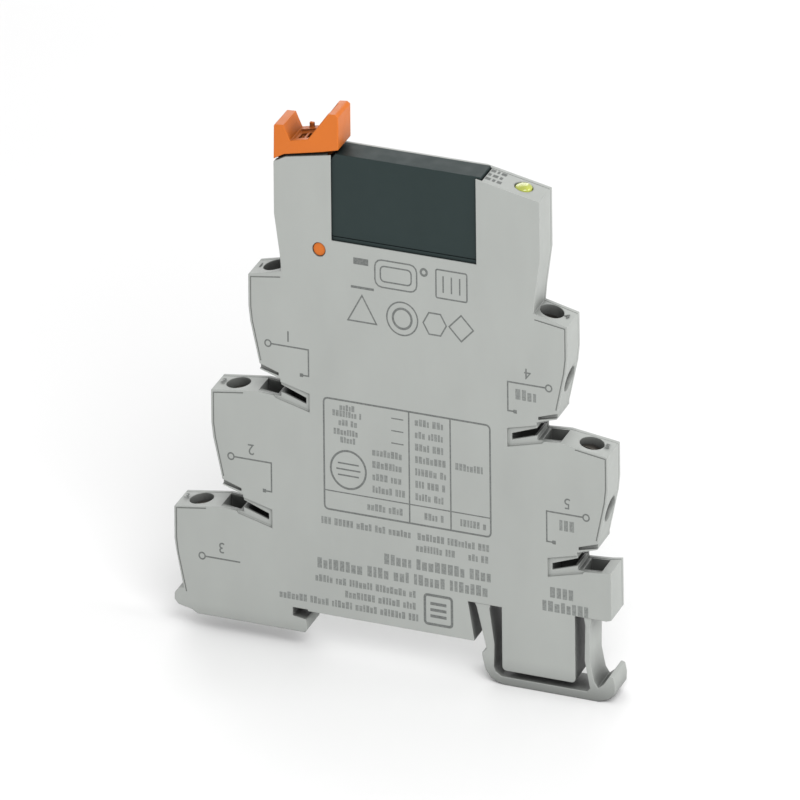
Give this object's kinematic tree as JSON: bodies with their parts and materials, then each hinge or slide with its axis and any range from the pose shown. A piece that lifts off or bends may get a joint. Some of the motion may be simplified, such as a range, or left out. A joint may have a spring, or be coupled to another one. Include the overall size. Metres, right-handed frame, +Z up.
{
  "type": "plug in relay",
  "caption": "Slim rail-mounted relay module: stepped terminal housing, plugged-in slim relay, swinging retaining lever, status light and elastic snap foot.",
  "frame": {"origin": "on the rail's centreline, mid-thickness, on the plane where the housing rests on the rail's flanges", "axes": "+X across the rail towards the snap foot, +Y through the thickness away from the printed side, +Z up, away from the rail"},
  "size_m": [0.0801, 0.0062, 0.0919],
  "materials": {
    "housing_plastic": "fine moulded texture",
    "lever_plastic": "satin moulded",
    "relay_plastic": "satin moulded",
    "clear_plastic": "tinted and clear",
    "led_body": "clear",
    "board": "solder resist",
    "pale_plastic": "satin",
    "black_plastic": "satin",
    "copper_wire": "enamelled copper",
    "magnet_iron": "zinc plated",
    "screw_steel": "zinc plated",
    "cage_steel": "nickel plated",
    "tinned_contact": "tin plated",
    "contact_brass": "bright"
  },
  "bodies": {
    "base": {"housing_shell": "housing_plastic", "housing_cover": "housing_plastic", "light_guide": "clear_plastic", "circuit_board": "board", "status_led": "led_body", "rectifier": "black_plastic", "series_resistor": "pale_plastic", "suppressor_diode": "black_plastic", "smoothing_capacitor": "pale_plastic", "socket_contact_a1": "tinned_contact", "socket_contact_a2": "tinned_contact", "socket_contact_no": "tinned_contact", "socket_contact_com": "tinned_contact", "current_bar_a2": "contact_brass", "current_bar_bb": "contact_brass", "current_bar_a1": "contact_brass", "current_bar_com": "contact_brass", "current_bar_no": "contact_brass"},
    "foot": {"rail_foot": "housing_plastic"},
    "lever": {"retaining_lever": "lever_plastic"},
    "relay": {"relay_case": "relay_plastic", "relay_base": "relay_plastic", "coil_bobbin": "pale_plastic", "coil_winding": "copper_wire", "coil_core": "magnet_iron", "yoke": "magnet_iron", "fixed_contact": "contact_brass", "contact_pin_com": "tinned_contact", "coil_pin_a1": "tinned_contact", "coil_pin_a2": "tinned_contact"},
    "armature": {"armature": "magnet_iron"},
    "card": {"contact_card": "pale_plastic"},
    "contact_spring": {"moving_contact": "contact_brass"},
    "screw_a2": {"terminal_screw_a2": "screw_steel"},
    "clamp_a2": {"clamp_cage_a2": "cage_steel"},
    "screw_bb": {"terminal_screw_bb": "screw_steel"},
    "clamp_bb": {"clamp_cage_bb": "cage_steel"},
    "screw_a1": {"terminal_screw_a1": "screw_steel"},
    "clamp_a1": {"clamp_cage_a1": "cage_steel"},
    "screw_com": {"terminal_screw_com": "screw_steel"},
    "clamp_com": {"clamp_cage_com": "cage_steel"},
    "screw_no": {"terminal_screw_no": "screw_steel"},
    "clamp_no": {"clamp_cage_no": "cage_steel"}
  },
  "joints": [
    {"name": "rail_foot_release", "type": "slide", "parent": "base", "child": "foot", "axis": [1, 0, 0], "range_m": [0, 0.0011]},
    {"name": "lever_swing", "type": "hinge", "parent": "base", "child": "lever", "pos_m": [-0.0122, 0, 0.062], "axis": [0, -1, 0], "range_deg": [0, 55]},
    {"name": "relay_lift", "type": "slide", "parent": "base", "child": "relay", "axis": [0, 0, 1], "range_m": [0, 0.0187]},
    {"name": "armature_pull", "type": "hinge", "parent": "relay", "child": "armature", "pos_m": [0.00595, 0, 0.0663], "axis": [0, -1, 0], "range_deg": [0, 2.5]},
    {"name": "card_travel", "type": "slide", "parent": "relay", "child": "card", "axis": [-1, 0, 0], "range_m": [0, 0.0004]},
    {"name": "contact_close", "type": "hinge", "parent": "relay", "child": "contact_spring", "pos_m": [0.01345, 0, 0.0652], "axis": [0, -1, 0], "range_deg": [0, 2.5]},
    {"name": "screw_turn_a2", "type": "hinge", "parent": "base", "child": "screw_a2", "pos_m": [-0.02143, 0, 0.05673], "axis": [0.1942, 0, -0.981], "range_deg": [0, 1441]},
    {"name": "clamp_rise_a2", "type": "slide", "parent": "base", "child": "clamp_a2", "axis": [-0.1942, 0, 0.981], "range_m": [0, 0.002]},
    {"name": "screw_turn_bb", "type": "hinge", "parent": "base", "child": "screw_bb", "pos_m": [-0.02848, 0, 0.03588], "axis": [0.1942, 0, -0.981], "range_deg": [0, 1441]},
    {"name": "clamp_rise_bb", "type": "slide", "parent": "base", "child": "clamp_bb", "axis": [-0.1942, 0, 0.981], "range_m": [0, 0.002]},
    {"name": "screw_turn_a1", "type": "hinge", "parent": "base", "child": "screw_a1", "pos_m": [-0.03553, 0, 0.01503], "axis": [0.1942, 0, -0.981], "range_deg": [0, 1441]},
    {"name": "clamp_rise_a1", "type": "slide", "parent": "base", "child": "clamp_a1", "axis": [-0.1942, 0, 0.981], "range_m": [0, 0.002]},
    {"name": "screw_turn_com", "type": "hinge", "parent": "base", "child": "screw_com", "pos_m": [0.02893, 0, 0.05673], "axis": [-0.1942, 0, -0.981], "range_deg": [0, 1441]},
    {"name": "clamp_rise_com", "type": "slide", "parent": "base", "child": "clamp_com", "axis": [0.1942, 0, 0.981], "range_m": [0, 0.002]},
    {"name": "screw_turn_no", "type": "hinge", "parent": "base", "child": "screw_no", "pos_m": [0.03598, 0, 0.03588], "axis": [-0.1942, 0, -0.981], "range_deg": [0, 1441]},
    {"name": "clamp_rise_no", "type": "slide", "parent": "base", "child": "clamp_no", "axis": [0.1942, 0, 0.981], "range_m": [0, 0.002]}
  ],
  "couplings": [
    {"joint": "relay_lift", "follows": "lever_swing", "m_per_rad": 0.0194},
    {"joint": "armature_pull", "follows": "card_travel", "rad_per_m": 107},
    {"joint": "contact_close", "follows": "card_travel", "rad_per_m": 107},
    {"joint": "screw_turn_a2", "follows": "clamp_rise_a2", "rad_per_m": 12566},
    {"joint": "screw_turn_bb", "follows": "clamp_rise_bb", "rad_per_m": 12566},
    {"joint": "screw_turn_a1", "follows": "clamp_rise_a1", "rad_per_m": 12566},
    {"joint": "screw_turn_com", "follows": "clamp_rise_com", "rad_per_m": 12566},
    {"joint": "screw_turn_no", "follows": "clamp_rise_no", "rad_per_m": 12566}
  ]
}
